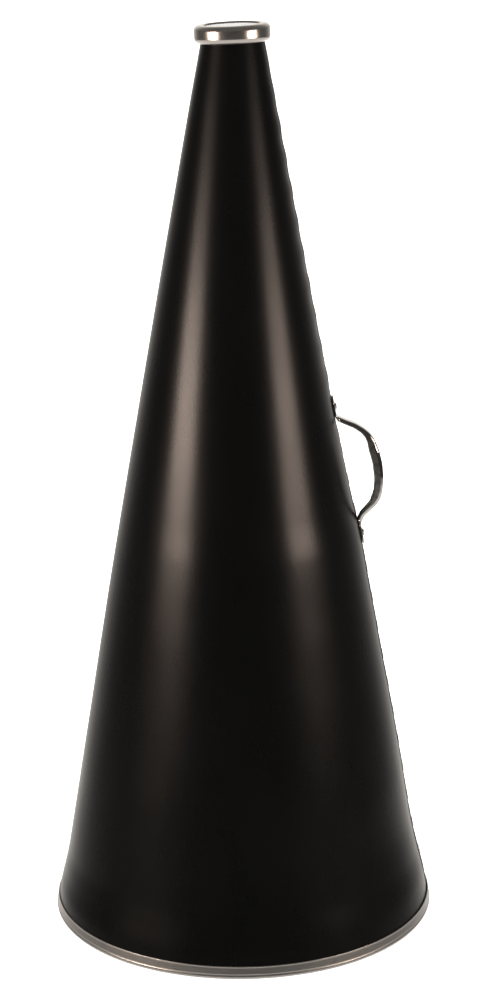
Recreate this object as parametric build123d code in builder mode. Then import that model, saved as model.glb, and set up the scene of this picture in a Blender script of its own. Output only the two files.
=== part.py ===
"""Cheerleader's megaphone: a rolled black sheet cone with a metal-bound mouth and bell.

Millimetres, +Z up. The megaphone stands on its bell: the origin is the centre of the bell's
open end, the mouthpiece is at the top, and the lapped seam and the carrying handle face +X.
"""

from build123d import *

import os
from math import atan, cos, degrees, pi, radians, sin, tau

os.makedirs("parts", exist_ok=True)

# ---------------------------------------------------------------- driving dimensions
overall_height = 815.0       # floor to the highest point of the mouthpiece ring
bell_radius = 175.14         # cone's outer face, carried down to the floor plane
taper = 0.1822               # radius lost for each millimetre of height

sheet_thickness = 1.2
lap_width = 28.0             # overlap of the rolled sheet
lap_side = 7.0               # the overlap's middle runs this far round from +X, towards +Y
lap_gap = 0.3                # clearance between the two layers of the overlap
dive_angle = radians(60)     # the inner layer dips under the outer one over this arc
section_points = 72          # points around one section of the sheet

# height, how far the sheet lies inside the true cone all round, and how much more at the seam
sheet_sections = [
    (2.4, -0.4, 0.0),
    (28.0, 0.3, -0.4),
    (56.0, 1.6, 0.1),
    (84.0, 1.4, 1.1),
    (140.0, 1.0, 0.1),
    (196.0, 0.55, -0.1),
    (252.0, -0.05, 0.4),
    (308.0, -0.65, 0.6),
    (357.0, -0.65, -0.05),
    (392.0, -0.55, 1.7),
    (475.0, -0.3, 3.0),
    (560.0, -0.05, 3.1),
    (616.0, 0.2, 2.9),
    (700.0, 0.85, 1.8),
    (756.0, 1.25, 0.8),
    (784.0, 1.6, 0.2),
]
sheet_top_waist = 1.7        # the same inward shift at the sheet's top edge, all round

rim_plate = 0.7              # bell binding, a U-shaped strip
rim_height = 10.8            # up the slope of the cone
rim_room = 3.1               # width inside the strip: two layers of sheet and some slack
rim_face = 0.5               # inner face of the strip's outer leg, outside the true cone
rim_rest_flat = 0.2          # worn off the rounded bottom, where it stands
rim_joint_gap = 0.6          # the strip's two ends meet at the back, on +Y
rim_rivet_spread = 9.0       # each rivet's distance from the joint
rim_rivet_radius = 1.0
rim_rivet_head_height = 0.6

ring_tilt = radians(2)       # the mouthpiece sits higher over the seam
ring_height = 16.0           # along its own tilted axis
ring_radius = 33.2           # over its outer band
ring_plate = 0.7
ring_curl = 6.6              # radius of the lower curl
ring_curl_height = 6.9       # height of the curl's centre
ring_curl_turn = 70          # degrees that the curl turns under
ring_crown_reach = 5.2       # the crown is a quarter of an ellipse
ring_crown_rise = 4.4
ring_mouth_radius = 24.2     # inner edge, rolled over the end of the sheet
ring_roll = 1.4
ring_seat = 0.2              # clearance between the roll and the end of the sheet

handle_width = 11.0
handle_plate = 1.2
handle_crown_fillet = 2.0
foot_width = 14.0
foot_bend = 8.75             # from the rivet to the bend into the grip
foot_tip = 10.2              # from the rivet to the free end
foot_thickness = 1.6
foot_gap = 0.2               # clearance between a foot's sole and the sheet
foot_root = 1.5              # a foot runs on this far under the grip
upper_foot_height = 475.0
lower_foot_height = 357.0

rivet_radius = 1.6
rivet_head_radius = 3.4
rivet_head_height = 1.2
rivet_tail_radius = 2.9
washer_radius = 5.0
washer_thickness = 0.8
hole_clearance = 0.1
seat_gap = 0.05              # between a head and what it holds down
inner_gap = 0.15             # between the sheet and the washer inside it

staple_pitch = 28.0
staple_first = 42.0
staple_last = 780.0
staple_length = 11.0
staple_width = 1.3
staple_crown = 0.5           # thickness of the flattened crown
staple_leg_radius = 0.35
staple_leg_inset = 0.2       # from the crown's end
staple_gap = 0.12            # under the crown
staple_clinch_gap = 0.3      # between the sheet and the clinched legs
staple_tail = 3.5            # each clinched leg inside

half_angle = atan(taper)
lap_depth = 2 * sheet_thickness + lap_gap
drill_run = 2.0              # a hole's peg stands out of the sheet this far at each end


# ---------------------------------------------------------------- the cone's surface
def sheet_shape(height):
    """Shift inside the true cone all round, and the further shift at the seam."""
    for low, high in zip(sheet_sections, sheet_sections[1:]):
        if height <= high[0]:
            share = (height - low[0]) / (high[0] - low[0])
            return (low[1] + (high[1] - low[1]) * share, low[2] + (high[2] - low[2]) * share)
    return sheet_sections[-1][1:]


def seam_share(azimuth):
    """1 at +X, easing to 0 at the opposite side."""
    return cos(azimuth / 2) ** 2


def skin_radius(height, azimuth):
    """Outer radius of the rolled sheet's outer layer."""
    waist, seam_flat = sheet_shape(height)
    return bell_radius - taper * height - waist - seam_flat * seam_share(azimuth)


def skin_plane(height, azimuth):
    """Plane on the sheet's outer face: x up the slope, z straight out."""
    radius = skin_radius(height, azimuth)
    slope = atan((skin_radius(height - 1, azimuth) - skin_radius(height + 1, azimuth)) / 2)
    at = Vector(radius * cos(azimuth), radius * sin(azimuth), height)
    up = Vector(-sin(slope) * cos(azimuth), -sin(slope) * sin(azimuth), cos(slope))
    out = Vector(cos(slope) * cos(azimuth), cos(slope) * sin(azimuth), sin(slope))
    return Plane(origin=at, x_dir=up, z_dir=out)


def sheet_edge_points(height, waist, seam_flat, depth):
    """One face of the rolled sheet at a height, from its outer free edge to its inner one."""
    radius = bell_radius - taper * height - waist
    lap = lap_width / radius
    dive_start = tau - dive_angle
    points = []
    for step in range(section_points + 1):
        turned = (tau + lap) * step / section_points
        dip = min(max((turned - dive_start) / dive_angle, 0.0), 1.0)
        dip = dip * dip * (3 - 2 * dip) * (sheet_thickness + lap_gap)
        azimuth = turned - lap / 2 + lap_side / radius
        local = radius - seam_flat * seam_share(azimuth) - dip - depth
        points.append((local * cos(azimuth), local * sin(azimuth)))
    return points


def even_spline(points):
    """Smooth curve through the points, evenly parametrised so that all sections match."""
    last = len(points) - 1
    steps = [step / last for step in range(last + 1)]
    return Edge.make_spline([Vector(x, y, 0) for x, y in points], parameters=steps)


# ---------------------------------------------------------------- the rim's section
rim_outer = rim_face + rim_plate
rim_inner = rim_face - rim_room
rim_middle = (rim_face + rim_inner) / 2
rim_base_height = rim_room / 2 + rim_plate - rim_rest_flat - rim_middle * sin(half_angle)
rim_edge = rim_height - rim_room / 2


def slope_point(out, up):
    """Radius and height of a point: out from the true cone's face and up its slope."""
    base_radius = bell_radius - taper * rim_base_height
    radius = base_radius + out * cos(half_angle) - up * sin(half_angle)
    return (radius, rim_base_height + out * sin(half_angle) + up * cos(half_angle))


# ---------------------------------------------------------------- the ring's place
ring_reach = ring_radius - ring_crown_reach       # radius of the ring's highest line
ring_base = overall_height - ring_height * cos(ring_tilt) - ring_reach * sin(ring_tilt)
ring_axis = (-sin(ring_tilt), 0, cos(ring_tilt))
ring_roll_height = ring_height - ring_roll
sheet_top = ring_base + ring_roll_height - ring_seat

# ---------------------------------------------------------------- rivets and staples: where they go
def staple_heights():
    """Heights of the staples' middles, leaving the two handle feet free."""
    count = int((staple_last - staple_first) / staple_pitch) + 1
    room = foot_tip + staple_length / 2
    heights = [staple_first + staple_pitch * step for step in range(count)]
    return [
        height
        for height in heights
        if abs(height - upper_foot_height) > room and abs(height - lower_foot_height) > room
    ]


def rim_rivet_plane(side):
    """Plane on the true cone, beside the rim's joint."""
    azimuth = pi / 2 + side * rim_rivet_spread / bell_radius
    radius, height = slope_point(0, rim_height * 0.55)
    at = Vector(radius * cos(azimuth), radius * sin(azimuth), height)
    along = Vector(-sin(half_angle) * cos(azimuth), -sin(half_angle) * sin(azimuth), cos(half_angle))
    out = Vector(cos(half_angle) * cos(azimuth), cos(half_angle) * sin(azimuth), sin(half_angle))
    return Plane(origin=at, x_dir=along, z_dir=out)


handle_rivet_planes = [skin_plane(upper_foot_height, 0), skin_plane(lower_foot_height, 0)]
rim_rivet_planes = [rim_rivet_plane(-1), rim_rivet_plane(1)]
staple_planes = [
    skin_plane(height, lap_side / skin_radius(height, 0)) for height in staple_heights()
]
staple_leg_reach = staple_length / 2 - staple_leg_radius - staple_leg_inset

# every hole through the sheet, as one set of pegs
with BuildPart() as sheet_holes:
    for plane in handle_rivet_planes:
        with BuildSketch(plane.offset(drill_run)):
            Circle(rivet_radius + hole_clearance)
        extrude(amount=-(lap_depth + 2 * drill_run))
    for plane in rim_rivet_planes:
        with BuildSketch(plane.offset(drill_run)):
            Circle(rim_rivet_radius + hole_clearance)
        extrude(amount=-(sheet_thickness + 2 * drill_run))
    for plane in staple_planes:
        with BuildSketch(plane.offset(drill_run)):
            with Locations((-staple_leg_reach, 0), (staple_leg_reach, 0)):
                Circle(staple_leg_radius + hole_clearance)
        extrude(amount=-(lap_depth + 2 * drill_run))

# ---------------------------------------------------------------- rolled sheet cone
tilted_x = (cos(ring_tilt), 0, sin(ring_tilt))
top_plane = Plane(origin=(0, 0, sheet_top), x_dir=tilted_x, z_dir=ring_axis)
top_section = (sheet_top, sheet_top_waist, 0.0)
sheet_planes = [Plane.XY.offset(section[0]) for section in sheet_sections] + [top_plane]

with BuildPart() as cone_sheet:
    for plane, (height, waist, seam_flat) in zip(sheet_planes, sheet_sections + [top_section]):
        outer = sheet_edge_points(height, waist, seam_flat, 0)
        inner = sheet_edge_points(height, waist, seam_flat, sheet_thickness)
        with BuildSketch(plane):
            with BuildLine():
                add(even_spline(outer))
                Line(outer[-1], inner[-1])
                add(even_spline(inner[::-1]))
                Line(inner[0], outer[0])
            make_face()
    loft(ruled=True)
    add(sheet_holes.part, mode=Mode.SUBTRACT)

# ---------------------------------------------------------------- staples along the lap
clinch_depth = lap_depth + staple_clinch_gap
clinch_middle = staple_leg_reach + staple_leg_radius - staple_tail / 2

with BuildPart() as seam_staples:
    for plane in staple_planes:
        crown_at = plane.offset(staple_gap)
        with BuildSketch(crown_at):
            SlotOverall(staple_length, staple_width)
        extrude(amount=staple_crown)
        with BuildSketch(crown_at):
            with Locations((-staple_leg_reach, 0), (staple_leg_reach, 0)):
                Circle(staple_leg_radius)
        extrude(amount=-(staple_gap + clinch_depth + staple_leg_radius))
        with BuildSketch(plane.offset(-clinch_depth)):
            with Locations((-clinch_middle, 0), (clinch_middle, 0)):
                Rectangle(staple_tail, 2 * staple_leg_radius)
        extrude(amount=-staple_crown)

# ---------------------------------------------------------------- bell binding
rim_turn = rim_joint_gap / bell_radius
rim_start = pi / 2 + rim_turn / 2
rim_plane = Plane(
    origin=(0, 0, 0),
    x_dir=(cos(rim_start), sin(rim_start), 0),
    z_dir=(sin(rim_start), -cos(rim_start), 0),
)
rim_back = rim_inner - rim_plate

with BuildPart() as bell_rim:
    with BuildSketch(rim_plane):
        with BuildLine():
            Polyline(
                slope_point(rim_outer, 0),
                slope_point(rim_outer, rim_edge),
                slope_point(rim_face, rim_edge),
                slope_point(rim_face, 0),
            )
            ThreePointArc(
                slope_point(rim_face, 0),
                slope_point(rim_middle, -rim_room / 2),
                slope_point(rim_inner, 0),
            )
            Polyline(
                slope_point(rim_inner, 0),
                slope_point(rim_inner, rim_edge),
                slope_point(rim_back, rim_edge),
                slope_point(rim_back, 0),
            )
            ThreePointArc(
                slope_point(rim_back, 0),
                slope_point(rim_middle, -rim_room / 2 - rim_plate),
                slope_point(rim_outer, 0),
            )
        make_face()
    revolve(axis=Axis.Z, revolution_arc=360 - degrees(rim_turn))
    split(bisect_by=Plane.XY, keep=Keep.TOP)
    for plane in rim_rivet_planes:
        with BuildSketch(plane.offset(rim_outer + drill_run)):
            Circle(rim_rivet_radius + hole_clearance)
        extrude(amount=rim_back - rim_outer - 2 * drill_run, mode=Mode.SUBTRACT)

# two small rivets hold the binding's ends at the back
rim_rivet_length = rim_outer - rim_back + 3 * seat_gap
with BuildPart() as rim_end_rivets:
    for plane in rim_rivet_planes:
        with BuildSketch(plane.offset(rim_outer + seat_gap)):
            Circle(rim_rivet_radius * 2)
        extrude(amount=rim_rivet_head_height, taper=40)
        with BuildSketch(plane.offset(rim_outer + 2 * seat_gap)):
            Circle(rim_rivet_radius)
        extrude(amount=-rim_rivet_length - seat_gap)
        with BuildSketch(plane.offset(rim_back - seat_gap)):
            Circle(rim_rivet_radius * 1.7)
        extrude(amount=-rim_rivet_head_height, taper=30)

# ---------------------------------------------------------------- mouthpiece ring
ring_plane = Plane(origin=(0, 0, ring_base), x_dir=tilted_x, z_dir=(0, -1, 0))
crown_height = ring_height - ring_crown_rise
crown_centre = (ring_reach, crown_height)
curl_centre = (ring_radius - ring_curl, ring_curl_height)
roll_centre = (ring_mouth_radius + ring_roll, ring_roll_height)
under_crown = ring_height - ring_plate
inner_face = ring_radius - ring_plate
inner_mouth = ring_mouth_radius + ring_plate

with BuildPart() as mouthpiece_ring:
    with BuildSketch(ring_plane):
        with BuildLine():
            outer_curl = CenterArc(curl_centre, ring_curl, 0, -ring_curl_turn)
            Line((ring_radius, ring_curl_height), (ring_radius, crown_height))
            EllipticalCenterArc(
                crown_centre, ring_crown_reach, ring_crown_rise, start_angle=0, arc_size=90
            )
            Line((ring_reach, ring_height), (roll_centre[0], ring_height))
            CenterArc(roll_centre, ring_roll, 90, 90)
            Line((ring_mouth_radius, ring_roll_height), (inner_mouth, ring_roll_height))
            CenterArc(roll_centre, ring_roll - ring_plate, 180, -90)
            Line((roll_centre[0], under_crown), (ring_reach, under_crown))
            EllipticalCenterArc(
                crown_centre,
                ring_crown_reach - ring_plate,
                ring_crown_rise - ring_plate,
                start_angle=0,
                arc_size=90,
            )
            Line((inner_face, crown_height), (inner_face, ring_curl_height))
            inner_curl = CenterArc(curl_centre, ring_curl - ring_plate, 0, -ring_curl_turn)
            Line(outer_curl @ 1, inner_curl @ 1)
        make_face()
    revolve(axis=Axis((0, 0, ring_base), ring_axis))

# ---------------------------------------------------------------- handle
def side_point(plane, along, out):
    """X-Z point a distance along and out from a plane on the seam line."""
    at = plane.from_local_coords(Vector(along, 0, out))
    return (at.X, at.Z)


def inset(points, distance, count=24):
    """Points inside a smooth side-view line, at a distance from it."""
    edge = Edge.make_spline([Vector(x, z, 0) for x, z in points])
    inside = []
    for step in range(count + 1):
        at = edge.position_at(step / count)
        along = edge.tangent_at(step / count)
        inside.append((at.X + along.Y * distance, at.Y - along.X * distance))
    return inside


upper_foot = handle_rivet_planes[0].offset(foot_gap)
lower_foot = handle_rivet_planes[1].offset(foot_gap)
foot_reach = foot_bend + foot_root

# the grip's outline seen from the side, from the upper bend down to the lower one
crown_outline = [
    side_point(upper_foot, -foot_bend, foot_thickness),
    (97.0, 462.6),
    (105.5, 459.0),
    (113.4, 453.6),
    (121.0, 445.2),
    (125.8, 433.0),
    (129.0, 420.6),
    (130.6, 406.0),
    (129.2, 394.0),
    (123.6, 384.3),
    (113.1, 373.5),
    side_point(lower_foot, foot_bend, foot_thickness),
]
flange_outline = [
    (96.5, 459.5),
    (102.6, 457.2),
    (109.6, 452.2),
    (114.6, 443.4),
    (119.8, 427.5),
    (122.6, 412.0),
    (123.3, 400.0),
    (120.9, 388.3),
    (115.5, 380.6),
    (110.5, 375.6),
]
roof_outline = inset(crown_outline, handle_plate)[1:-1]
hollow_depth = 8.0           # the hollow is cut this far past the flanges' edges
hollow_top = (flange_outline[0][0] - hollow_depth / 2, flange_outline[0][1] - hollow_depth)
hollow_bottom = (flange_outline[-1][0] - hollow_depth, flange_outline[-1][1] + hollow_depth / 2)
long_edge = 100.0            # only the grip's two crown edges are longer than this

with BuildPart() as grip_hollow:
    with BuildSketch(Plane.XZ.offset(-handle_width / 2 + handle_plate)):
        with BuildLine():
            Spline(*roof_outline)
            Polyline(roof_outline[0], hollow_top, hollow_bottom, roof_outline[-1])
        make_face()
    extrude(amount=handle_width - 2 * handle_plate)
    roof_edges = grip_hollow.edges().filter_by(lambda edge: edge.length > long_edge).sort_by(Axis.X)[-2:]
    fillet(roof_edges, handle_crown_fillet - handle_plate)

with BuildPart() as handle:
    # the grip: a channel with a rounded crown outside and two side flanges
    with BuildSketch(Plane.XZ.offset(-handle_width / 2)):
        with BuildLine():
            Spline(*crown_outline)
            Spline(*flange_outline)
            Polyline(crown_outline[0], side_point(upper_foot, -foot_reach, 0), flange_outline[0])
            Polyline(crown_outline[-1], side_point(lower_foot, foot_reach, 0), flange_outline[-1])
        make_face()
    extrude(amount=handle_width)
    crown_edges = handle.edges().filter_by(lambda edge: edge.length > long_edge).sort_by(Axis.X)[-2:]
    fillet(crown_edges, handle_crown_fillet)
    add(grip_hollow.part, mode=Mode.SUBTRACT)
    # the feet: round-tipped tabs, each with a hole for its rivet
    for sole, tip_side in ((upper_foot, 1), (lower_foot, -1)):
        near = -tip_side * foot_reach
        far = tip_side * (foot_tip - foot_width / 2)
        with BuildSketch(sole):
            with BuildLine():
                Line((near, -foot_width / 2), (far, -foot_width / 2))
                Line((near, foot_width / 2), (far, foot_width / 2))
                Line((near, -foot_width / 2), (near, foot_width / 2))
                ThreePointArc((far, -foot_width / 2), (tip_side * foot_tip, 0), (far, foot_width / 2))
            make_face()
        extrude(amount=foot_thickness)
        with BuildSketch(sole):
            Circle(rivet_radius + hole_clearance)
        extrude(amount=foot_thickness, mode=Mode.SUBTRACT)

# ---------------------------------------------------------------- handle rivets and their washers
rivet_seat = foot_gap + foot_thickness + seat_gap            # underside of the head
washer_face = lap_depth + inner_gap
rivet_tail_at = washer_face + washer_thickness + seat_gap

with BuildPart() as handle_rivets:
    for plane in handle_rivet_planes:
        with BuildSketch(plane.offset(rivet_seat)):
            Circle(rivet_head_radius)
        extrude(amount=rivet_head_height, taper=38)
        with BuildSketch(plane.offset(rivet_seat + seat_gap)):
            Circle(rivet_radius)
        extrude(amount=-(rivet_seat + rivet_tail_at + 2 * seat_gap))
        with BuildSketch(plane.offset(-rivet_tail_at)):
            Circle(rivet_tail_radius)
        extrude(amount=-rivet_head_height, taper=35)

with BuildPart() as handle_washers:
    for plane in handle_rivet_planes:
        with BuildSketch(plane.offset(-washer_face)):
            Circle(washer_radius)
            Circle(rivet_radius + hole_clearance, mode=Mode.SUBTRACT)
        extrude(amount=-washer_thickness)

# ---------------------------------------------------------------- the finished pieces
pieces = {
    "cone_sheet": cone_sheet,
    "seam_staples": seam_staples,
    "bell_rim": bell_rim,
    "rim_end_rivets": rim_end_rivets,
    "mouthpiece_ring": mouthpiece_ring,
    "handle": handle,
    "handle_rivets": handle_rivets,
    "handle_washers": handle_washers,
}
for name, piece in pieces.items():
    piece.part.label = name
    export_step(piece.part, f"parts/{name}.step")
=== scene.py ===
"""Looks of the cheer megaphone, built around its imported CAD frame. Metres, +Z up."""

from math import atan, copysign, cos, pi, radians, sin, tau

import bmesh
import bpy
import numpy as np
from mathutils import Matrix, Vector


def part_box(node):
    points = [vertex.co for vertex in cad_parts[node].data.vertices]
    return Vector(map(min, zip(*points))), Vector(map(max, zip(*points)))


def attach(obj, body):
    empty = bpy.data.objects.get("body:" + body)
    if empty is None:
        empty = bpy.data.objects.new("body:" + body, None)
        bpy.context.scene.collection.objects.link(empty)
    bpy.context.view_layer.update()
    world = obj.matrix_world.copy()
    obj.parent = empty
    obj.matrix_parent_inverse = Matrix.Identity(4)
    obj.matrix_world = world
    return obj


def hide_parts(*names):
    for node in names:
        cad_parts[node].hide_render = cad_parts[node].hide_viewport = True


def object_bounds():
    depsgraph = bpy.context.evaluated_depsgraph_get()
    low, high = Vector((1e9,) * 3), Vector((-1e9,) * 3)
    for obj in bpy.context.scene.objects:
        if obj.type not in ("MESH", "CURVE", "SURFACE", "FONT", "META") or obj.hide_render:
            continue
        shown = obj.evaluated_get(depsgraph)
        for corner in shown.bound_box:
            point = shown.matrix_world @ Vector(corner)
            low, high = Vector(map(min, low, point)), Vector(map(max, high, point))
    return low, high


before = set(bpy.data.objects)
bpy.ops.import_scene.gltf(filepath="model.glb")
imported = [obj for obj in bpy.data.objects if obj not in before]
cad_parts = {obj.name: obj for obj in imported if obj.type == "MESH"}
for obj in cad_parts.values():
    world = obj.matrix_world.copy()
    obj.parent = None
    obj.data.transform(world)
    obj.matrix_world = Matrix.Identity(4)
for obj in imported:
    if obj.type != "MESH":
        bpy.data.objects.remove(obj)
cad_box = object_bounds()
MM = 0.001

# ---------------------------------------------------------------- the frame's own measures, in mm
TOP = cad_box[1][2] / MM
SHEET_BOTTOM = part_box("cone_sheet")[0][2] / MM

# ---------------------------------------------------------------- the CAD's dimensions, in mm
BELL_RADIUS = 175.14         # cone's outer face, carried down to the floor plane
TAPER = 0.1822               # radius lost for each millimetre of height

SHEET = 1.2                  # thickness
LAP = 28.0                   # overlap of the rolled sheet
LAP_SIDE = 7.0               # its middle runs this far round from +X, towards +Y
LAP_DEPTH = 2.7              # both layers and the gap between them
DIVE = radians(60)           # the inner layer dips under the outer one over this arc

RING_TILT = radians(2)
RING_HEIGHT = 16.0
RING_RADIUS = 33.2
RING_PLATE = 0.7
RING_REACH = 28.0            # radius of the ring's highest line
RING_ROUNDING = 0.01         # the tilted crown rises a little past that line
RING_BASE = TOP - RING_ROUNDING - RING_HEIGHT * cos(RING_TILT) - RING_REACH * sin(RING_TILT)
SHEET_UNDER_RING = 1.6       # the sheet ends this far below the ring's top
SHEET_TOP = RING_BASE + RING_HEIGHT - SHEET_UNDER_RING

STAPLE_PITCH = 28.0
STAPLE_FIRST = 42.0
STAPLE_COUNT = 27            # before those at the handle's feet are left out
STAPLE_LENGTH = 11.0

UPPER_FOOT = 475.0           # heights of the two rivets through the handle
LOWER_FOOT = 357.0
FOOT_BEND = 8.75             # from the rivet to the bend into the grip
FOOT_TIP = 10.2              # from the rivet to the free end
FOOT_TOP = 1.8               # outer face of a foot, from the sheet

SEAT_GAP = 0.05              # between a head and what it holds down
WASHER_FACE = -LAP_DEPTH - 0.15
WASHER_THICK = 0.8
WASHER_BACK = WASHER_FACE - WASHER_THICK

RIM_HEIGHT = 10.8
RIM_ROOM = 3.1               # width inside the strip
RIM_FACE = 0.5               # inner face of the strip's outer leg, from the true cone
RIM_PLATE = 0.7
RIM_REST_FLAT = 0.2          # worn off the rounded bottom
RIM_JOINT = 0.6
RIM_RIVET_SPREAD = 9.0       # each rivet's distance from the joint
RIM_RIVET_RISE = 0.55        # share of the strip's height

# (height, inward shift of the sheet from the true cone): all round, and in full at the seam,
# in finer steps than the CAD's sections
WAIST = [
    (2.4, -0.4), (18, -0.35), (38, 0.9), (58, 1.65), (84, 1.45), (119, 1.2), (159, 0.8),
    (198, 0.55), (237, 0.1), (276, -0.25), (314, -0.55), (350, -0.62), (390, -0.6), (483, -0.3),
    (610, 0.2), (680, 0.7), (749, 1.2), (792, 1.7), (814, 1.7),
]
SEAM = [
    (2.4, -0.4), (28, -0.1), (56, 1.7), (84, 2.5), (140, 1.1), (196, 0.45), (252, 0.35),
    (290, 0.0), (308, -0.05), (357, -0.7), (392, 1.15), (475, 2.7), (560, 3.05), (616, 3.1),
    (700, 2.65), (756, 2.05), (784, 1.8), (814, 1.7),
]
half_angle = atan(TAPER)


def ease(value, low, high):
    """Smooth step from 0 to 1 as value goes from low to high."""
    share = np.clip((np.asarray(value, float) - low) / (high - low), 0, 1)
    return share * share * (3 - 2 * share)


def smooth_curve(knots, at):
    """Monotone cubic through (x, y) knots, evaluated at the values in at."""
    x = np.array([k[0] for k in knots], float)
    y = np.array([k[1] for k in knots], float)
    step = np.diff(x)
    rise = np.diff(y) / step
    tangent = np.zeros_like(y)
    product = rise[:-1] * rise[1:]
    total = np.where(product > 0, rise[:-1] + rise[1:], 1.0)
    tangent[1:-1] = np.where(product > 0, 2 * product / total, 0)
    tangent[0], tangent[-1] = rise[0], rise[-1]
    at = np.clip(np.asarray(at, float), x[0], x[-1])
    i = np.clip(np.searchsorted(x, at) - 1, 0, len(step) - 1)
    t = (at - x[i]) / step[i]
    h = step[i]
    return (
        (2 * t**3 - 3 * t**2 + 1) * y[i] + (t**3 - 2 * t**2 + t) * h * tangent[i]
        + (3 * t**2 - 2 * t**3) * y[i + 1] + (t**3 - t**2) * h * tangent[i + 1]
    )


def skin_radius(z, azimuth):
    """Outer radius of the sheet's outer layer, without its small puckers."""
    waist = smooth_curve(WAIST, z)
    seam_extra = smooth_curve(SEAM, z) - waist
    return BELL_RADIUS - TAPER * np.asarray(z, float) - waist - seam_extra * np.cos(azimuth / 2) ** 2


class Seat:
    """Local axes on the sheet: up its slope, sideways round it, and out of it."""

    def __init__(self, at, lean, azimuth):
        self.at = at
        self.up = np.array([-sin(lean) * cos(azimuth), -sin(lean) * sin(azimuth), cos(lean)])
        self.out = np.array([cos(lean) * cos(azimuth), cos(lean) * sin(azimuth), sin(lean)])
        self.side = np.cross(self.out, self.up)

    def place(self, points):
        """Points given as (up, side, out), in the frame's own axes."""
        points = np.asarray(points, float)
        return self.at + points @ np.array([self.up, self.side, self.out])


def skin_seat(z, azimuth):
    """Seat on the sheet's outer face."""
    radius = float(skin_radius(z, azimuth))
    lean = atan(float(skin_radius(z - 1, azimuth) - skin_radius(z + 1, azimuth)) / 2)
    return Seat(np.array([radius * cos(azimuth), radius * sin(azimuth), z]), lean, azimuth)


# ---------------------------------------------------------------- mesh helpers
def add_object(name, shape, sharp):
    """Closed outward-facing mesh from millimetre points and faces, sharp at edges above an angle."""
    vertices, faces = shape
    mesh = bpy.data.meshes.new(name)
    mesh.from_pydata((np.asarray(vertices, float) * MM).tolist(), [], faces)
    mesh.update()
    mesh.validate()
    solid = bmesh.new()
    solid.from_mesh(mesh)
    inside_out = solid.calc_volume(signed=True) < 0
    solid.free()
    if inside_out:
        mesh.flip_normals()
    mesh.shade_smooth()
    mesh.set_sharp_from_angle(angle=radians(sharp))
    piece = bpy.data.objects.new(name, mesh)
    bpy.context.collection.objects.link(piece)
    return piece


def grid_faces(rows, columns, wrap_rows=False):
    """Quads over a rows x columns grid of points, closed across its columns."""
    row = np.arange(rows if wrap_rows else rows - 1)
    column = np.arange(columns)
    r, c = np.meshgrid(row, column, indexing="ij")
    r2, c2 = (r + 1) % rows, (c + 1) % columns
    quads = np.stack([r * columns + c, r * columns + c2, r2 * columns + c2, r2 * columns + c], -1)
    return quads.reshape(-1, 4).tolist()


def revolve(profile, segments, start=0.0, sweep=tau):
    """Points and faces of a closed (radius, height) profile turned about Z."""
    profile = np.asarray(profile, float)
    full = sweep == tau
    turns = start + sweep * np.arange(segments if full else segments + 1) / segments
    points = np.empty((len(turns), len(profile), 3))
    points[..., 0] = np.cos(turns)[:, None] * profile[None, :, 0]
    points[..., 1] = np.sin(turns)[:, None] * profile[None, :, 0]
    points[..., 2] = profile[None, :, 1]
    faces = grid_faces(len(turns), len(profile), wrap_rows=full)
    if not full:
        last = (len(turns) - 1) * len(profile)
        faces.append(list(range(len(profile))))
        faces.append([last + i for i in reversed(range(len(profile)))])
    return points.reshape(-1, 3), faces


def turned_pin(profile, segments):
    """Points and faces of a pin: a (radius, height) line turned about Z and capped at both ends."""
    turns = tau * np.arange(segments) / segments
    points = [(r * cos(a), r * sin(a), h) for r, h in profile for a in turns]
    faces = grid_faces(len(profile), segments)
    last = (len(profile) - 1) * segments
    faces.append(list(reversed(range(segments))))
    faces.append([last + i for i in range(segments)])
    return np.array(points), faces


def join(parts):
    """Several (points, faces) pairs as one."""
    points, faces, start = [], [], 0
    for part_points, part_faces in parts:
        points.append(part_points)
        faces += [[i + start for i in face] for face in part_faces]
        start += len(part_points)
    return np.concatenate(points), faces


def arc(centre, reach, start, end, count, rise=None):
    """Points of an arc of an ellipse, angles in degrees."""
    angles = np.radians(np.linspace(start, end, count))
    rise = reach if rise is None else rise
    return [(centre[0] + reach * cos(a), centre[1] + rise * sin(a)) for a in angles]


def finish_piece(piece, node, slot, *materials):
    """Give a piece its materials and let it stand for a CAD node."""
    for material in materials:
        piece.data.materials.append(material)
    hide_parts(node)
    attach(piece, "root")


# ---------------------------------------------------------------- material helpers
def new_material(name):
    """Material with one shader; also its nodes, its links and that shader."""
    material = bpy.data.materials.new(name)
    material.use_nodes = True
    nodes = material.node_tree.nodes
    nodes.clear()
    shader = nodes.new("ShaderNodeBsdfPrincipled")
    output = nodes.new("ShaderNodeOutputMaterial")
    material.node_tree.links.new(shader.outputs["BSDF"], output.inputs["Surface"])
    return material, nodes, material.node_tree.links, shader


def noise(nodes, links, scale, detail=4.0, roughness=0.55, stretch=None):
    """Noise over the object's own coordinates; stretch scales its three axes."""
    coordinates = nodes.new("ShaderNodeTexCoord")
    texture = nodes.new("ShaderNodeTexNoise")
    texture.inputs["Scale"].default_value = scale
    texture.inputs["Detail"].default_value = detail
    texture.inputs["Roughness"].default_value = roughness
    if stretch is None:
        links.new(coordinates.outputs["Object"], texture.inputs["Vector"])
    else:
        mapping = nodes.new("ShaderNodeMapping")
        mapping.inputs["Scale"].default_value = stretch
        links.new(coordinates.outputs["Object"], mapping.inputs["Vector"])
        links.new(mapping.outputs["Vector"], texture.inputs["Vector"])
    return texture.outputs["Fac"]


def remap(nodes, links, value, low, high, new_low, new_high):
    """Stretch a value's range from low..high to new_low..new_high."""
    node = nodes.new("ShaderNodeMapRange")
    node.inputs["From Min"].default_value = low
    node.inputs["From Max"].default_value = high
    node.inputs["To Min"].default_value = new_low
    node.inputs["To Max"].default_value = new_high
    links.new(value, node.inputs["Value"])
    return node.outputs["Result"]


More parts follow.
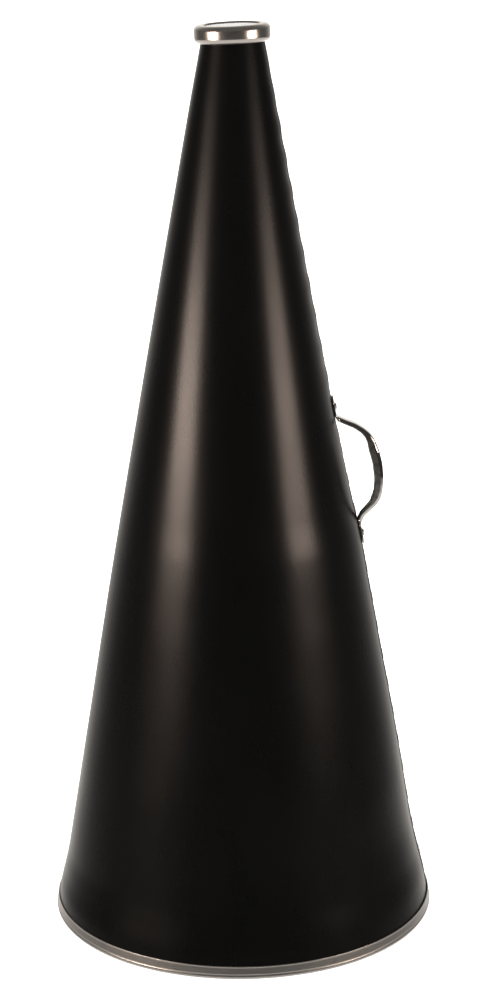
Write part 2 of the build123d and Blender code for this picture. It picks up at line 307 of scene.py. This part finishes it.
def blend_colours(nodes, links, factor, first, second):
    """Mix of two colours."""
    node = nodes.new("ShaderNodeMix")
    node.data_type = "RGBA"
    node.inputs["A"].default_value = (*first, 1)
    node.inputs["B"].default_value = (*second, 1)
    links.new(factor, node.inputs["Factor"])
    return node.outputs["Result"]


def bump(nodes, links, value, strength, distance, under=None):
    """Relief from a value, over another relief if one is given."""
    node = nodes.new("ShaderNodeBump")
    node.inputs["Strength"].default_value = strength
    node.inputs["Distance"].default_value = distance
    links.new(value, node.inputs["Height"])
    if under is not None:
        links.new(under, node.inputs["Normal"])
    return node.outputs["Normal"]


# ---------------------------------------------------------------- materials
def black_sheet():
    """Black satin sheet: fine pebbled skin, faint cloudiness and rubbed patches."""
    material, nodes, links, shader = new_material("black_sheet")
    deep, worn = (0.0005, 0.0005, 0.0004), (0.0009, 0.0008, 0.0007)
    cloud = remap(nodes, links, noise(nodes, links, 9.0, 3.0), 0.35, 0.7, 0, 1)
    links.new(blend_colours(nodes, links, cloud, deep, worn), shader.inputs["Base Color"])
    smear = noise(nodes, links, 26.0, 5.0, 0.6, (1, 1, 0.35))
    links.new(remap(nodes, links, smear, 0.3, 0.7, 0.262, 0.292), shader.inputs["Roughness"])
    shader.inputs["IOR"].default_value = 1.5
    pebble = noise(nodes, links, 1100.0, 2.0, 0.5)
    sag = noise(nodes, links, 22.0, 1.0, 0.4, (1, 1, 0.5))
    broad = bump(nodes, links, sag, 0.07, 0.004)
    links.new(bump(nodes, links, pebble, 0.10, 0.0004, broad), shader.inputs["Normal"])
    return material


def plated_chrome(name, tint, roughness):
    """Chrome plate: cloudy tint, patches of handling haze and a slight waviness."""
    material, nodes, links, shader = new_material(name)
    shader.inputs["Metallic"].default_value = 1.0
    cloud = noise(nodes, links, 60.0, 4.0)
    colour = blend_colours(nodes, links, cloud, tint, tuple(c * 0.93 for c in tint))
    links.new(colour, shader.inputs["Base Color"])
    rub = noise(nodes, links, 240.0, 5.0, 0.65)
    haze = remap(nodes, links, rub, 0.35, 0.75, roughness, roughness + 0.05)
    links.new(haze, shader.inputs["Roughness"])
    wave = noise(nodes, links, 90.0, 1.0, 0.4)
    links.new(bump(nodes, links, wave, 0.06, 0.001), shader.inputs["Normal"])
    return material


def satin_metal(name, tint, roughness, grain=(1, 1, 14)):
    """Dull metal: soft cloudy wear and fine lines, drawn out as the grain's three scales say."""
    material, nodes, links, shader = new_material(name)
    shader.inputs["Metallic"].default_value = 1.0
    cloud = noise(nodes, links, 40.0, 4.0)
    colour = blend_colours(nodes, links, cloud, tint, tuple(c * 0.86 for c in tint))
    links.new(colour, shader.inputs["Base Color"])
    lines = noise(nodes, links, 180.0, 4.0, 0.6, grain)
    gloss = remap(nodes, links, lines, 0.3, 0.7, roughness - 0.05, roughness + 0.08)
    links.new(gloss, shader.inputs["Roughness"])
    links.new(bump(nodes, links, lines, 0.12, 0.0002), shader.inputs["Normal"])
    return material


def pale_lining():
    """White inside face of the sheet: faint fibres and a little unevenness of tone."""
    material, nodes, links, shader = new_material("pale_lining")
    clean, aged = (0.86, 0.85, 0.83), (0.80, 0.79, 0.76)
    cloud = noise(nodes, links, 14.0, 4.0)
    links.new(blend_colours(nodes, links, cloud, clean, aged), shader.inputs["Base Color"])
    fibre = noise(nodes, links, 700.0, 4.0, 0.6, (1, 1, 0.3))
    links.new(remap(nodes, links, fibre, 0.3, 0.7, 0.5, 0.62), shader.inputs["Roughness"])
    links.new(bump(nodes, links, fibre, 0.12, 0.0003), shader.inputs["Normal"])
    return material


BLACK = black_sheet()
LINING = pale_lining()
CHROME = plated_chrome("mouthpiece_chrome", (0.80, 0.765, 0.73), 0.22)
HANDLE_CHROME = plated_chrome("handle_chrome", (0.82, 0.80, 0.77), 0.07)
RIVET_CHROME = plated_chrome("rivet_chrome", (0.80, 0.785, 0.76), 0.09)
SATIN = satin_metal("rim_satin", (0.66, 0.64, 0.61), 0.33)
DARK_STEEL = satin_metal("staple_steel", (0.05, 0.047, 0.045), 0.42, (1, 1, 1))
ZINC = satin_metal("washer_zinc", (0.55, 0.55, 0.54), 0.38, (1, 1, 1))


# ---------------------------------------------------------------- the rolled sheet
FOOT_CALM = 17.0             # the sheet lies still about this far each side of a foot's rivet
PUCKER_MIDDLE = 6.5          # the puckers' middle, round from +X towards +Y
PUCKER_SPREAD = 20.0


def staple_heights():
    """Heights of the staples' middles, leaving the two handle feet free."""
    room = FOOT_TIP + STAPLE_LENGTH / 2
    heights = [STAPLE_FIRST + STAPLE_PITCH * step for step in range(STAPLE_COUNT)]
    return [z for z in heights if abs(z - UPPER_FOOT) > room and abs(z - LOWER_FOOT) > room]


def between_staples(z):
    """0 at a staple and 1 midway between two; fades out at the handle's feet and the bell."""
    wave = np.sin(pi * (z - STAPLE_FIRST) / STAPLE_PITCH) ** 2
    feet = sum(np.exp(-(((z - foot) / FOOT_CALM) ** 4)) for foot in (UPPER_FOOT, LOWER_FOOT))
    return wave * (1 - np.clip(feet, 0, 1)) * ease(z, 14, 30)


def pucker(z, azimuth, radius):
    """Outward lift of the seam between its staples, strongest in the upper half."""
    side = radius * ((azimuth + pi) % tau - pi)
    lift = 0.18 + 0.75 * ease(z, 400, 500) * (1 - ease(z, 715, 790))
    return lift * between_staples(z) * np.exp(-(((side - PUCKER_MIDDLE) / PUCKER_SPREAD) ** 2))


def tilted_points(radius, azimuth, z, tilt):
    """Points round the axis, raised towards +X by the tilt."""
    x = radius * np.cos(azimuth)
    return np.stack([x, radius * np.sin(azimuth), z + x * tilt], -1)


def make_sheet():
    """The lapped sheet as one closed skin; its inner faces take the second material."""
    # finer near the two free edges
    bands = [np.linspace(0, 0.16, 60), np.linspace(0.16, 0.84, 130)[1:], np.linspace(0.84, 1, 60)[1:]]
    share = np.concatenate(bands)[None, :]
    z = np.linspace(SHEET_BOTTOM, SHEET_TOP, 300)[:, None]
    radius = skin_radius(z, 0.0)
    lap = LAP / radius
    turned = (tau + lap) * share
    azimuth = turned - lap / 2 + LAP_SIDE / radius
    from_edge = turned * radius
    past_edge = (turned - tau) * radius
    upper = ease(z, 360, 420)
    edge = 0.45 - 0.3 * upper                     # thickness left at the outer free edge
    skived = 3 + 9 * upper                        # and how far round it is thinned
    skive = (SHEET - edge) * (1 - ease(from_edge, 0, skived))
    under = ease(turned, tau - DIVE, tau)
    layer_gap = 0.05
    dive = (edge + layer_gap) * under + (SHEET - edge) * ease(past_edge, 0, skived)
    gape = 0.12 * (1 - upper) * np.exp(-((from_edge / 10) ** 2)) * between_staples(z)
    face = skin_radius(z, azimuth) - dive + pucker(z, azimuth, radius) + gape
    back = face - SHEET + skive
    tilt = ease(z, 760, SHEET_TOP) * np.tan(RING_TILT)
    outer = tilted_points(face, azimuth, z, tilt)
    inner = tilted_points(back, azimuth, z, tilt)[:, ::-1]
    loop = np.concatenate([outer, inner], 1)

    rows, columns = loop.shape[:2]
    half = columns // 2
    faces = grid_faces(rows, columns)
    lined = [half <= column < columns - 1 for column in range(columns)] * (rows - 1)
    for row in (0, rows - 1):
        base = row * columns
        for i in range(half - 1):
            quad = [base + i, base + i + 1, base + columns - 2 - i, base + columns - 1 - i]
            faces.append(quad if row else quad[::-1])
            lined.append(False)
    piece = add_object("rolled_sheet", (loop.reshape(-1, 3), faces), 35)
    finish_piece(piece, "cone_sheet", "body", BLACK, LINING)
    piece.data.polygons.foreach_set("material_index", np.array(lined, np.int32))


# ---------------------------------------------------------------- mouthpiece ring
def make_ring():
    """Bead ring of bent plate: curled under outside, rolled over the end of the sheet inside."""
    # the lower curl is tighter than the CAD's, as in the photo
    curl, roll, mouth_radius = 5.3, 1.4, 24.2
    curl_centre = (RING_RADIUS - curl, 5.6)
    crown_centre = (RING_REACH, 11.6)
    roll_centre = (mouth_radius + roll, RING_HEIGHT - roll)
    reach = RING_RADIUS - RING_REACH
    rise = RING_HEIGHT - crown_centre[1]
    section = arc(curl_centre, curl, -75, 0, 22)
    section += arc(crown_centre, reach, 0, 90, 32, rise)
    section += arc(roll_centre, roll, 90, 180, 16)
    section += arc(roll_centre, roll - RING_PLATE, 180, 90, 10)
    section += arc(crown_centre, reach - RING_PLATE, 90, 0, 24, rise - RING_PLATE)
    section += arc(curl_centre, curl - RING_PLATE, 0, -75, 14)
    points, faces = revolve(section, 256)
    tilted_x = (cos(RING_TILT), 0, sin(RING_TILT))
    tilted_z = (-sin(RING_TILT), 0, cos(RING_TILT))
    points = points @ np.array([tilted_x, (0, 1, 0), tilted_z]) + np.array([0, 0, RING_BASE])
    piece = add_object("mouth_ring", (points, faces), 40)
    finish_piece(piece, "mouthpiece_ring", "mouthpiece", CHROME)


# ---------------------------------------------------------------- bell binding
rim_outer = RIM_FACE + RIM_PLATE
rim_inner = RIM_FACE - RIM_ROOM
rim_middle = (RIM_FACE + rim_inner) / 2
rim_back = rim_inner - RIM_PLATE
rim_base = RIM_ROOM / 2 + RIM_PLATE - RIM_REST_FLAT - rim_middle * sin(half_angle)
rim_edge = RIM_HEIGHT - RIM_ROOM / 2


def slope_point(out, up):
    """Radius and height of a point: out from the true cone's face and up its slope."""
    radius = BELL_RADIUS - TAPER * rim_base + out * cos(half_angle) - up * sin(half_angle)
    return (radius, max(rim_base + out * sin(half_angle) + up * cos(half_angle), 0.0))


def make_rim():
    """U-shaped strip with a rounded upper lip and a pressed line near its foot."""
    lip_round, outer_end, inner_end = 0.4, rim_edge - 0.3, rim_edge - 0.4
    section = []
    for up in np.linspace(0, outer_end, 46):
        lip = 0.16 * np.exp(-(((up - rim_edge + 0.55) / 0.5) ** 2))
        line = 0.22 * np.exp(-(((up - 1.5) / 0.4) ** 2))
        section.append((rim_outer + lip - line, up))
    section += arc((RIM_FACE + lip_round, outer_end), lip_round, 20, 160, 9, 0.36)
    section += [(RIM_FACE, up) for up in np.linspace(inner_end, 0, 12)]
    section += arc((rim_middle, 0), RIM_ROOM / 2, 0, -180, 20)[1:]
    section += [(rim_inner, up) for up in np.linspace(0, inner_end, 12)[1:]]
    section += arc((rim_inner - RIM_PLATE / 2, inner_end), RIM_PLATE / 2, 0, 180, 9)[1:]
    section += [(rim_back, up) for up in np.linspace(inner_end, 0, 12)[1:]]
    section += arc((rim_middle, 0), RIM_ROOM / 2 + RIM_PLATE, -180, 0, 30)[1:-1]
    joint = RIM_JOINT / BELL_RADIUS
    shape = revolve([slope_point(*at) for at in section], 360, pi / 2 + joint / 2, tau - joint)
    finish_piece(add_object("bell_binding", shape, 50), "bell_rim", "rim", SATIN)


# ---------------------------------------------------------------- rivets, washers and staples
def dome(base, radius, rise):
    """Half section of a rivet's head, from its crown down to its edge and back in underneath."""
    lip = copysign(0.18, rise)
    side = arc((0, base + lip), radius, 89.5, 0, 16, rise - lip)
    return side + [(radius, base + lip / 2), (radius - 0.12, base)]


def seated(seat, shape):
    """A turned shape stood on a seat, its axis pointing out; swapping two axes mirrors it."""
    points, faces = shape
    return seat.place(points[:, [1, 0, 2]]), [face[::-1] for face in faces]


def rivet(seat, head, shank, tail, segments):
    """One rivet on a seat; its head and tail are each (base, radius, rise)."""
    line = dome(*head) + [(shank, head[0]), (shank, tail[0])] + dome(*tail)[::-1]
    return seated(seat, turned_pin(line, segments))


def rim_seat(side):
    """Seat on the true cone, beside the strip's joint."""
    azimuth = pi / 2 + side * RIM_RIVET_SPREAD / BELL_RADIUS
    radius, z = slope_point(0, RIM_HEIGHT * RIM_RIVET_RISE)
    return Seat(np.array([radius * cos(azimuth), radius * sin(azimuth), z]), half_angle, azimuth)


def make_rivets():
    """Domed rivets with set tails: two through the handle's feet and two through the strip."""
    head = (FOOT_TOP + SEAT_GAP, 3.4, 1.6)        # taller than the CAD's, as in the photo
    tail = (WASHER_BACK - SEAT_GAP, 2.9, -1.2)
    pair = [rivet(skin_seat(z, 0.0), head, 1.6, tail, 48) for z in (UPPER_FOOT, LOWER_FOOT)]
    piece = add_object("handle_rivet_pair", join(pair), 50)
    finish_piece(piece, "handle_rivets", "rivets", RIVET_CHROME)

    head = (rim_outer + SEAT_GAP, 2.0, 0.6)
    tail = (rim_back - SEAT_GAP, 1.7, -0.6)
    pair = [rivet(rim_seat(side), head, 1.0, tail, 32) for side in (-1, 1)]
    piece = add_object("rim_rivet_pair", join(pair), 50)
    finish_piece(piece, "rim_end_rivets", "rivets", RIVET_CHROME)


def make_washers():
    """Flat washers inside the sheet, with broken edges."""
    bore, edge, near, far = 1.7, 5.0, WASHER_FACE, WASHER_BACK
    section = [
        (bore, near), (bore, far), (edge - 0.12, far), (edge - 0.03, far + 0.05), (edge, far + 0.14),
        (edge, near - 0.14), (edge - 0.03, near - 0.05), (edge - 0.12, near),
    ]
    pair = [seated(skin_seat(z, 0.0), revolve(section, 64)) for z in (UPPER_FOOT, LOWER_FOOT)]
    piece = add_object("handle_washer_pair", join(pair), 40)
    finish_piece(piece, "handle_washers", "washers", ZINC)


def make_staples():
    """Flat wire staples: crown outside, legs through both layers, ends clinched inside."""
    leg, clinch, crown = 4.95, -LAP_DEPTH - 0.55, 0.37       # middle of the wire
    corner, tail, sides = 0.35, 2.8, 16
    path = [(leg - tail, clinch), (leg - 0.4, clinch)]
    path += arc((leg - corner, clinch + corner), corner, -90, 0, 7)
    path += arc((leg - corner, crown - corner), corner, 0, 90, 7)
    path = np.array([(-u, n) for u, n in path] + path[::-1])
    along = np.gradient(path, axis=0)
    along /= np.linalg.norm(along, axis=1)[:, None]
    normal = np.stack([-along[:, 1], along[:, 0]], -1)
    raised = ease(path[:, 1], crown - 0.9, crown)[:, None]    # the wire is flattened at its crown
    turns = tau * np.arange(sides) / sides
    width = (0.32 + 0.33 * raised) * np.sign(np.cos(turns)) * np.abs(np.cos(turns)) ** 0.6
    thick = (0.32 - 0.08 * raised) * np.sign(np.sin(turns)) * np.abs(np.sin(turns)) ** 0.6
    up = path[:, :1] + normal[:, :1] * thick
    out = path[:, 1:] + normal[:, 1:] * thick
    points = np.stack([up, width, out], -1).reshape(-1, 3)
    faces = grid_faces(len(path), sides)
    last = (len(path) - 1) * sides
    faces += [list(range(sides)), [last + i for i in reversed(range(sides))]]
    row = []
    for z in staple_heights():
        seat = skin_seat(z, LAP_SIDE / float(skin_radius(z, 0.0)))
        row.append((seat.place(points), faces))
    piece = add_object("lap_staples", join(row), 50)
    finish_piece(piece, "seam_staples", "staples", DARK_STEEL)


# ---------------------------------------------------------------- handle
# grip's outer face seen from the side, (x, z) from the upper bend down to the lower one, bulging
# up to 2 mm more than the CAD's where it slopes
CROWN = [
    (97.2, 463.2), (105.9, 459.8), (113.4, 455.2), (118.8, 450.6), (122.9, 444.7), (127.5, 433.6),
    (130.3, 422.1), (131.3, 410.0), (130.9, 402.5), (130.2, 394.8), (128.4, 388.9), (124.7, 383.2),
    (119.3, 378.1), (113.9, 372.9),
]
# (height, depth from the outer face to the flanges' edges)
GRIP_DEPTH = [
    (373.0, 4.0), (380.0, 4.9), (388.0, 7.0), (395.0, 7.2), (403.0, 7.3), (412.0, 8.0),
    (434.0, 8.5), (443.0, 7.0), (450.0, 5.4), (456.0, 4.2), (466.0, 3.4),
]
GRIP_HALF = 5.5              # half widths
FOOT_HALF = 7.0
FOOT_CURVE = 88.0            # radius that the feet's soles follow


def soften(points, step, spread, pad):
    """Evenly spaced points with their corners rounded, both ends kept straight."""
    before = points[0] + (points[1] - points[0]) * np.arange(-pad, 0)[:, None]
    after = points[-1] + (points[-1] - points[-2]) * np.arange(1, pad + 1)[:, None]
    weights = np.exp(-((np.arange(-pad, pad + 1) * step / spread) ** 2) / 2)
    weights /= weights.sum()
    padded = np.concatenate([before, points, after])
    return np.stack([np.convolve(padded[:, axis], weights, "valid") for axis in (0, 1)], -1)


def handle_line():
    """The strip's outer face from the side, each point's run from its tip, and both bends' runs."""
    step = 0.3
    line = list(CROWN)
    for z, along in ((UPPER_FOOT, -FOOT_BEND), (UPPER_FOOT, FOOT_TIP)):
        at = skin_seat(z, 0.0).place([(along, 0, FOOT_TOP)])[0]
        line.insert(0, (at[0], at[2]))
    for z, along in ((LOWER_FOOT, FOOT_BEND), (LOWER_FOOT, -FOOT_TIP)):
        at = skin_seat(z, 0.0).place([(along, 0, FOOT_TOP)])[0]
        line.append((at[0], at[2]))
    line = np.array(line)
    run = np.concatenate([[0], np.cumsum(np.linalg.norm(np.diff(line, axis=0), axis=1))])
    even = np.arange(0, run[-1], step)
    points = np.stack([np.interp(even, run, line[:, axis]) for axis in (0, 1)], -1)
    return soften(points, step, 1.1, 20), even, run[1], run[-2]


def plate_end(outer, inner, inward, side, bulge):
    """Half-round edge of a plate, from its outer corner to its inner one."""
    middle = (outer + inner) / 2
    half_plate = (inner - outer) / 2
    forward = side * np.array([-inward[1], inward[0]])
    swing = np.radians(np.linspace(90, -90, 7)[1:-1])
    return [middle - half_plate * sin(a) + forward * bulge * cos(a) for a in swing]


def strip_section(reach, bend, fold, plate):
    """Closed (sideways, out) section of the strip, bent over by its fold: 0 flat, 1 a channel."""
    across = np.linspace(-1, 1, 61) * reach
    flat = GRIP_HALF - bend
    past = np.clip(np.abs(across) - flat, 0, None)
    turned = np.minimum(past / bend, fold * pi / 2)
    rest = past - turned * bend
    sideways = np.minimum(np.abs(across), flat) + bend * np.sin(turned) + rest * np.cos(turned)
    drop = bend * (1 - np.cos(turned)) + rest * np.sin(turned)
    hug = sideways**2 / (2 * FOOT_CURVE) * (1 - fold)
    outer = np.stack([np.sign(across) * sideways, -drop - hug], -1)
    inward = -np.stack([np.sign(across) * np.sin(turned), np.cos(turned)], -1)
    inner = outer + inward * plate
    bulge = min(plate / 2, reach)
    right = plate_end(outer[-1], inner[-1], inward[-1], 1, bulge)
    left = plate_end(outer[0], inner[0], inward[0], -1, bulge)
    return np.concatenate([outer, right, inner[::-1], left[::-1]])


def make_handle():
    """One pressed strip: round-ended flat feet that turn into a channel with side flanges."""
    line, run, first_bend, last_bend = handle_line()
    along = np.gradient(line, axis=0)
    along /= np.linalg.norm(along, axis=1)[:, None]
    out = np.stack([-along[:, 1], along[:, 0]], -1)
    fold = ease(np.minimum(run - first_bend, last_bend - run), -0.8, 4.6)
    depth = smooth_curve(GRIP_DEPTH, line[:, 1])
    from_tip = np.clip(np.minimum(run, run[-1] - run), 0.02, FOOT_HALF)
    foot = np.sqrt(FOOT_HALF**2 - (FOOT_HALF - from_tip) ** 2)
    bend = 3.0 - 1.6 * ease(line[:, 1], 436, 452)             # radius between crown and flanges
    unfolded = GRIP_HALF - bend + bend * pi / 2 + depth - bend
    reach = foot + (unfolded - foot) * fold
    plate = 1.6 - 0.4 * fold
    rows = []
    for i in range(len(line)):
        section = strip_section(reach[i], bend[i], fold[i], plate[i])
        x = line[i, 0] + out[i, 0] * section[:, 1]
        z = line[i, 1] + out[i, 1] * section[:, 1]
        rows.append(np.stack([x, section[:, 0], z], -1))
    points = np.array(rows)
    count, width = points.shape[:2]
    faces = grid_faces(count, width)
    faces += [list(reversed(range(width))), [(count - 1) * width + i for i in range(width)]]
    piece = add_object("strap_handle", (points.reshape(-1, 3), faces), 50)
    finish_piece(piece, "handle", "handle", HANDLE_CHROME)


make_sheet()
make_ring()
make_rim()
make_rivets()
make_washers()
make_staples()
make_handle()


# ---------------------------------------------------------------- stage, light and camera
AIM_HEIGHT = 0.45            # the softboxes point at the axis here


def make_floor():
    """Plain pale floor, bright enough to meet the white behind it."""
    mesh = bpy.data.meshes.new("floor")
    reach = 30.0
    corners = [(-reach, -reach, 0), (reach, -reach, 0), (reach, reach, 0), (-reach, reach, 0)]
    mesh.from_pydata(corners, [], [(0, 1, 2, 3)])
    floor = bpy.data.objects.new("floor", mesh)
    bpy.context.collection.objects.link(floor)
    material, _, _, shader = new_material("pale_floor")
    shader.inputs["Base Color"].default_value = (0.9, 0.9, 0.9, 1)
    shader.inputs["Roughness"].default_value = 0.9
    shader.inputs["Specular IOR Level"].default_value = 0.0
    shader.inputs["Emission Color"].default_value = (1, 1, 1, 1)
    shader.inputs["Emission Strength"].default_value = 0.35
    mesh.materials.append(material)
    floor.visible_glossy = False                  # the world's own ground is what metal reflects


def add_softbox(name, azimuth, power):
    """Warm area light facing the megaphone; azimuth is from the camera's side, +X positive."""
    distance, z = 1.9, 0.64
    light = bpy.data.lights.new(name, "AREA")
    light.shape = "RECTANGLE"
    light.size, light.size_y = 0.85, 0.30
    light.energy = power
    light.color = (1.0, 0.80, 0.68)
    lamp = bpy.data.objects.new(name, light)
    turn = radians(azimuth)
    lamp.location = (distance * sin(turn), -distance * cos(turn), z)
    aim = Vector((0, 0, AIM_HEIGHT)) - lamp.location
    lamp.rotation_euler = aim.to_track_quat("-Z", "Y").to_euler()
    bpy.context.collection.objects.link(lamp)


def make_world():
    """Studio: white to the camera and to diffuse light, and for reflections white behind and
    pale below the megaphone, dim on the camera's side."""
    world = bpy.data.worlds.new("studio")
    bpy.context.scene.world = world
    world.use_nodes = True
    nodes, links = world.node_tree.nodes, world.node_tree.links
    nodes.clear()
    coordinates = nodes.new("ShaderNodeTexCoord")
    split = nodes.new("ShaderNodeSeparateXYZ")
    links.new(coordinates.outputs["Generated"], split.inputs["Vector"])

    def ramp(value, low, high, new_low, new_high):
        """Smooth step of a value between two levels."""
        node = nodes.new("ShaderNodeMapRange")
        node.interpolation_type = "SMOOTHSTEP"
        node.inputs["From Min"].default_value = low
        node.inputs["From Max"].default_value = high
        node.inputs["To Min"].default_value = new_low
        node.inputs["To Max"].default_value = new_high
        links.new(value, node.inputs["Value"])
        return node.outputs["Result"]

    def combine(operation, first, second):
        """Arithmetic on two values, each an output or a plain number."""
        node = nodes.new("ShaderNodeMath")
        node.operation = operation
        for socket, value in zip(node.inputs, (first, second)):
            if isinstance(value, float):
                socket.default_value = value
            else:
                links.new(value, socket)
        return node.outputs["Value"]

    behind = combine("MAXIMUM", split.outputs["Y"], 0.0)
    backdrop = combine("POWER", behind, 5.0)
    sides = ramp(split.outputs["Y"], -0.1, 0.3, 0.0, 0.03)
    ceiling = ramp(split.outputs["Z"], 0.12, 0.28, 0.022, 0.07)
    ground = ramp(split.outputs["Z"], -0.24, -0.38, 0.0, 0.62)
    studio = nodes.new("ShaderNodeBackground")
    studio.inputs["Color"].default_value = (1.0, 0.95, 0.89, 1)
    upright = combine("ADD", backdrop, sides)
    level = combine("ADD", ceiling, ground)
    links.new(combine("ADD", upright, level), studio.inputs["Strength"])
    plain = nodes.new("ShaderNodeBackground")
    plain.inputs["Color"].default_value = (1, 1, 1, 1)
    path = nodes.new("ShaderNodeLightPath")
    fill = ramp(path.outputs["Is Diffuse Ray"], 0.0, 1.0, 1.0, 2.3)
    links.new(fill, plain.inputs["Strength"])
    mix = nodes.new("ShaderNodeMixShader")
    links.new(path.outputs["Is Glossy Ray"], mix.inputs["Fac"])
    links.new(plain.outputs["Background"], mix.inputs[1])
    links.new(studio.outputs["Background"], mix.inputs[2])
    output = nodes.new("ShaderNodeOutputWorld")
    links.new(mix.outputs["Shader"], output.inputs["Surface"])


def make_camera():
    """Portrait view from in front, 2.14 m away and 0.99 m up, tilted down and a little rolled."""
    stand_off = 2.136
    eye_height = 0.9889
    tilt, turn, roll = 0.27390, 0.00488, -0.01154
    forward = Vector((sin(turn) * cos(tilt), cos(turn) * cos(tilt), -sin(tilt)))
    level = Vector((cos(turn), -sin(turn), 0))
    upright = level.cross(forward)
    right = level * cos(roll) + upright * sin(roll)
    up = upright * cos(roll) - level * sin(roll)
    camera = bpy.data.cameras.new("camera")
    camera.lens = 88.18
    camera.sensor_width = 36.0
    camera.clip_end = 200.0
    view = bpy.data.objects.new("camera", camera)
    view.matrix_world = Matrix((
        (right.x, up.x, -forward.x, 0.0),
        (right.y, up.y, -forward.y, -stand_off),
        (right.z, up.z, -forward.z, eye_height),
        (0, 0, 0, 1),
    ))
    bpy.context.collection.objects.link(view)
    bpy.context.scene.camera = view


make_floor()
make_world()
add_softbox("key_left", -60.0, 11.5)
add_softbox("fill_right", 61.5, 7.2)
make_camera()
bpy.context.scene.view_settings.view_transform = "Standard"
